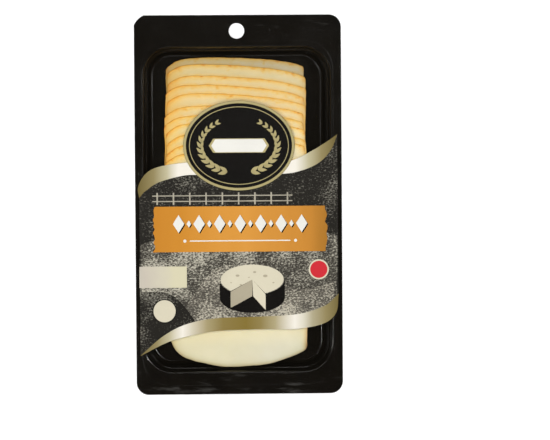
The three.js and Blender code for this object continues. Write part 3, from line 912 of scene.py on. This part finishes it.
# Ribbons. Two curved bands of metallic gold ink that close the printed field above and below. The upper one
# runs behind the badge. They are olive and dull gold, and almost white where they catch the light.
NEAR_WHITE = (0.57, 0.54, 0.48)
PALE_GOLD = (0.34, 0.31, 0.2)
DULL_GOLD = (0.19, 0.155, 0.07)
OLIVE_GOLD = (0.147, 0.105, 0.023)
DARK_GOLD = (0.11, 0.084, 0.028)
RIBBON_SPACING = 1.5
GOLD_REACH = 64


def ribbon_outline(points):
    line = spline(points)
    along = np.gradient(line[:, :2], axis=0)
    across = np.column_stack([-along[:, 1], along[:, 0]]) / np.linalg.norm(along, axis=1)[:, None]
    lower, upper = (
        even(line[:, :2] + side * across * line[:, 2:], RIBBON_SPACING, closed=False) for side in (-1, 1)
    )
    return np.vstack([lower, upper[::-1]])


def gold_ink(name, *stops):
    """Gold ink whose tone changes across the pack. Each stop is a place in millimetres from the middle."""
    finish, tree, shader = new_ink(name)
    share = share_between(own_place(tree, "X"), -GOLD_REACH, GOLD_REACH)
    tone = ramp(share, *[((x + GOLD_REACH) / (2 * GOLD_REACH), colour) for x, colour in stops])
    flake = ramp(noise(tree, 2500, 2), (0.3, (0.94, 0.94, 0.93)), (0.7, (1, 1, 1)))
    feed(shader, times(tone, flake))
    return finish


lower_gold = gold_ink(
    "lower_ribbon_ink", (-61, DARK_GOLD), (-51, DULL_GOLD), (-43, PALE_GOLD), (-35, NEAR_WHITE),
    (-29, (0.42, 0.38, 0.29)), (-20, (0.25, 0.21, 0.11)), (-10, (0.168, 0.125, 0.04)), (4, OLIVE_GOLD),
    (13, (0.18, 0.138, 0.048)), (22, (0.28, 0.24, 0.135)), (34, NEAR_WHITE), (39, (0.47, 0.44, 0.36)),
    (45, (0.28, 0.25, 0.16)), (53, DULL_GOLD), (61, DARK_GOLD),
)
upper_gold = gold_ink(
    "upper_ribbon_ink", (-61, DARK_GOLD), (-52, DULL_GOLD), (-44, PALE_GOLD), (-37, NEAR_WHITE),
    (35, NEAR_WHITE), (43, PALE_GOLD), (51, DULL_GOLD), (59, DARK_GOLD),
)
for name, points, ink in (
    ("lower", LOWER_RIBBON, lower_gold),
    ("left", LEFT_RIBBON, upper_gold),
    ("right", RIGHT_RIBBON, upper_gold),
):
    band = ink_plate(f"print_{name}_ribbon", [ribbon_outline(points)], ink, 5)
    print_ink(band, f"lid_ribbon_{name}")


# Banner. A field of orange ink across the middle with torn ends, printed over the charcoal. It carries a row
# of plain cream lozenges with a dark shadow, and a thin cream rule with a dot at each end.
BANNER_CENTRE, BANNER_WIDTH, BANNER_HEIGHT = (0.8, -14.8), 107.6, 28
TEAR, TEARS, TEAR_SEED = 1.7, 15, 5
LOZENGE_WIDTH, LOZENGE_HEIGHT, LOZENGES, SMALL_LOZENGE = 7, 11, 13, 0.4
ROW_Y, ROW_ENDS, SHADOW = -11.5, (-37, 38.6), (0.6, -0.6)
RULE_LENGTH, RULE_WIDTH, RULE_CENTRE = 62, 0.7, (0.8, -22)
DOT_ENDS, DOT_RADIUS = (-33.2, 34.8), 1


def torn_outline():
    """A rectangle whose ends are ragged."""
    random = np.random.default_rng(TEAR_SEED)
    half_width, half_height = BANNER_WIDTH / 2, BANNER_HEIGHT / 2
    levels = np.linspace(-half_height, half_height, TEARS)
    ends = []
    for side in (1, -1):
        depth = TEAR * random.random(len(levels))
        ends.append(np.column_stack([side * (half_width - depth), levels * side]))
    return np.vstack(ends) + BANNER_CENTRE


orange_ink, tree, shader = new_ink("orange_ink")
# The orange is painted lighter in the middle and darker towards both ends, in wavy upright bands: painted
# shading of the film's ripples.
wander = swing(noise(tree, 60, 3, stretch=(1, 0.15, 1)), 0.35)
share = plus(share_between(own_place(tree, "X"), -55, 55), wander)
feed(shader, ramp(
    share, (0, (0.36, 0.144, 0.016)), (0.15, (0.385, 0.16, 0.019)), (0.5, (0.44, 0.198, 0.034)),
    (0.8, (0.37, 0.157, 0.024)), (1, (0.262, 0.114, 0.016)),
))
print_shape("print_banner", torn_outline(), orange_ink, 5, "lid_banner")
white_ink = plain_ink("white_ink", (0.53, 0.52, 0.48))
lozenge = np.array([(-0.5, 0), (0, -0.5), (0.5, 0), (0, 0.5)]) * (LOZENGE_WIDTH, LOZENGE_HEIGHT)
for name, ink, layer, shift, slot in (
    ("shadow", black_ink, 6, SHADOW, "black_ink"), ("lozenges", white_ink, 7, (0, 0), "cream_ink"),
):
    start, end = (np.add((x, ROW_Y), shift) for x in ROW_ENDS)
    print_row(f"print_banner_{name}", lozenge, ink, layer, start, end, LOZENGES, "lid_banner",
              second_size=SMALL_LOZENGE)
print_shape("print_banner_rule", bar(RULE_LENGTH, RULE_WIDTH) + RULE_CENTRE, white_ink, 6, "lid_banner")
for number, x in enumerate(DOT_ENDS):
    dot = oval((x, RULE_CENTRE[1]), DOT_RADIUS, 0.4)
    print_shape(f"print_banner_dot_{number + 1}", dot, white_ink, 6, "lid_banner")


# Panel. A plain cream field at the left of the film, printed over the charcoal. It is left blank, for a date
# to be stamped on it.
PANEL_CENTRE, PANEL_WIDTH, PANEL_HEIGHT = (-46.7, -44.1), 29.1, 13.1
panel_ink, tree, shader = new_ink("panel_ink")
share = plus(share_between(own_place(tree, "X"), -61, -32), swing(noise(tree, 120, 3), 0.4))
feed(shader, ramp(share, (0.1, (0.365, 0.33, 0.275)), (0.5, (0.405, 0.375, 0.29)), (0.75, (0.43, 0.4, 0.28))))
panel_loop = even(bar(PANEL_WIDTH, PANEL_HEIGHT) + PANEL_CENTRE, 1)
print_ink(ink_plate("print_panel", [panel_loop], panel_ink, 5), "lid_panel")


# Badge. A black oval over the upper ribbon with two gold lines round it. It carries two ears of wheat and a
# plain cream bar, all in the same inks.
BADGE_CENTRE, BADGE_RADIUS = (0.4, 36.4), (34.2, 27.6)
BADGE_RIM_INSET, BADGE_RIM, BADGE_LINE_INSET, BADGE_LINE = 0.1, 1.5, 3.6, 0.45
EAR_RADIUS, EAR_GRAINS, GRAIN_LENGTH, GRAIN_WIDTH = (23.5, 17), 12, 6, 2.3
GRAIN_STEPS, GRAIN_LEAN, TIP_SIZE = 13, 24, 0.6
BAR_POINTS = np.array([(-17, 0), (-14.5, 4), (14.5, 4), (17, 0), (14.5, -4), (-14.5, -4)])
BAR_RIM_SIZE = 1.09


def badge_oval(inset):
    return oval(BADGE_CENTRE, np.array(BADGE_RADIUS) - inset, 1)


def wheat_ear():
    """Geometry Nodes that set pairs of grains along an arc of an oval, leaning towards its tip."""
    tree, given, names = new_maker(
        "wheat_ear", Vector="Centre", Int="Grains", Material="Ink",
        Float="Radius X, Radius Y, Start, End, Lean, Tip Size",
    )

    # The stem's points, spaced evenly in angle along the arc
    line = add_node(tree, "GeometryNodeMeshLine", {"Count": given["Grains"]})[0]
    number = add_node(tree, "GeometryNodeInputIndex")[0]
    share = calc("DIVIDE", number, minus(given["Grains"], 1))
    sweep = minus(given["End"], given["Start"])
    angle = plus(given["Start"], product(share, sweep))
    radius_x, radius_y = given["Radius X"], given["Radius Y"]
    cosine, sine = calc("COSINE", angle), calc("SINE", angle)
    spot = vector(tree, X=product(radius_x, cosine), Y=product(radius_y, sine))
    spot = vector_calc("ADD", spot, given["Centre"])
    stem = add_node(tree, "GeometryNodeSetPosition", {"Geometry": line, "Position": spot})[0]

    # Two grains at each point, turned to both sides of the stem's own direction
    way = calc("SIGN", sweep)
    run_x = product(product(radius_x, sine), product(way, -1))
    run_y = product(product(radius_y, cosine), way)
    heading = calc("ARCTAN2", run_y, run_x)
    size = plus(1, product(share, minus(given["Tip Size"], 1)))
    size = vector(tree, X=size, Y=size, Z=1.0)
    grains = []
    for side in (-1, 1):
        turn = vector(tree, Z=plus(heading, product(given["Lean"], side)))
        grains.append(add_node(tree, "GeometryNodeInstanceOnPoints", {
            "Points": stem, "Instance": given["Geometry"], "Rotation": turn, "Scale": size,
        })[0])
    end_maker(tree, join(tree, *grains), given["Ink"])
    return tree, names


badge_gold = plain_ink("badge_gold_ink", (0.3, 0.255, 0.12), 0.85)
print_ink(ink_plate("print_badge", [badge_oval(0)], black_ink, 6), "lid_badge")
for name, inset, width in (("rim", BADGE_RIM_INSET, BADGE_RIM), ("line", BADGE_LINE_INSET, BADGE_LINE)):
    ring = [badge_oval(inset), badge_oval(inset + width)]
    print_ink(ink_plate(f"print_badge_{name}", ring, badge_gold, 7), "lid_badge")
ear_tree, ear_inputs = wheat_ear()
share = np.linspace(0, 1, GRAIN_STEPS)
bulge = GRAIN_WIDTH / 2 * np.sin(math.pi * share ** 0.8)
grain = np.vstack([np.column_stack([share * GRAIN_LENGTH, -bulge])[:-1],
                   np.column_stack([share * GRAIN_LENGTH, bulge])[:0:-1]])
for name, start, end in (("left", -108, -232), ("right", -72, 52)):
    ear = ink_plate(f"print_{name}_ear", [grain], badge_gold, 7)
    grow(ear, ear_tree, ear_inputs, {
        "Centre": Vector((*BADGE_CENTRE, 0)) * MM, "Radius X": EAR_RADIUS[0] * MM,
        "Radius Y": EAR_RADIUS[1] * MM, "Start": math.radians(start), "End": math.radians(end),
        "Grains": EAR_GRAINS, "Lean": math.radians(GRAIN_LEAN), "Tip Size": TIP_SIZE, "Ink": badge_gold,
    })
    print_ink(ear, "lid_badge")
bar_rim = BAR_POINTS * BAR_RIM_SIZE + BADGE_CENTRE
print_shape("print_badge_bar_rim", bar_rim, badge_gold, 8, "lid_badge")
print_shape("print_badge_bar", BAR_POINTS + BADGE_CENTRE, white_ink, 9, "lid_badge")


# Floor and light. A plain pale floor under five soft boxes that leave no glare, as if through polarizing
# sheets. The top one is small and stands in the camera's direction, so the print hides its own shadow. Other
# lamps are seen in gloss alone, and give the tray its sheen and its bright edges.
FLOOR_HALF, FLOOR_Z = 3000, -0.1
WORLD_LIGHT = 0.05
SOFT_BOX_DISTANCE, SHEEN_SHARE = 1.3, 0.98
GLINT_HEIGHT = 1.2

floor_finish, tree, shader = new_finish(
    "floor", Roughness=0.9, Emission_Color=(1, 1, 1, 1), Emission_Strength=0.5
)
feed(shader, ramp(noise(tree, 6), (0.3, (0.66,) * 3), (0.7, (0.7,) * 3)))
floor_points = ring_at(bar(2 * FLOOR_HALF, 2 * FLOOR_HALF), FLOOR_Z)
floor = mesh_piece("floor", floor_points, [(0, 1, 2, 3)], floor_finish)

world = bpy.data.worlds.new("room")
world.use_nodes = True
background = world.node_tree.nodes["Background"]
background.inputs["Color"].default_value = (1, 1, 1, 1)
background.inputs["Strength"].default_value = WORLD_LIGHT
bpy.context.scene.world = world


def soft_box(name, place, size, watts, lights_pack, seen_in_gloss):
    lamp = bpy.data.lights.new(name, "AREA")
    lamp.shape = "RECTANGLE"
    lamp.size, lamp.size_y = size
    lamp.energy = watts
    box = bpy.data.objects.new(name, lamp)
    box.location = place
    box.rotation_euler = (-Vector(place)).to_track_quat("-Z", "Y").to_euler()
    box.visible_diffuse = lights_pack
    box.visible_glossy = seen_in_gloss
    bpy.context.collection.objects.link(box)


for side, direction, width, watts, sheen_watts in (
    ("top", (*CAMERA_LEAN, 1), 0.35, 24.3, 0),
    ("near", (0, -0.62, 0.78), 0.8, 1, 3.6),
    ("left", (-0.62, 0, 0.78), 0.8, 1.3, 2.4),
    ("right", (0.62, 0, 0.78), 0.8, 1.3, 2.4),
    ("far", (0, 0.62, 0.78), 0.8, 1.3, 10),
):
    place = Vector(direction) * SOFT_BOX_DISTANCE
    soft_box(f"{side}_box", place, (width, width), watts, True, False)
    if sheen_watts:
        soft_box(f"{side}_sheen", place * SHEEN_SHARE, (width, width), sheen_watts, False, True)
for name, x, y, size, watts in (
    ("right_side", -0.5, -0.19, (0.2, 0.08), 7.5),
    ("right_corner", -0.45, 0.42, (0.12, 0.12), 8),
    ("left_corner", 0.62, 0.22, (0.14, 0.14), 20),
    ("near_left_corner", 0.45, 0.42, (0.12, 0.12), 8),
):
    soft_box(f"{name}_glint", (x, y, GLINT_HEIGHT), size, watts, False, True)
bpy.context.scene.view_settings.view_transform = "Standard"
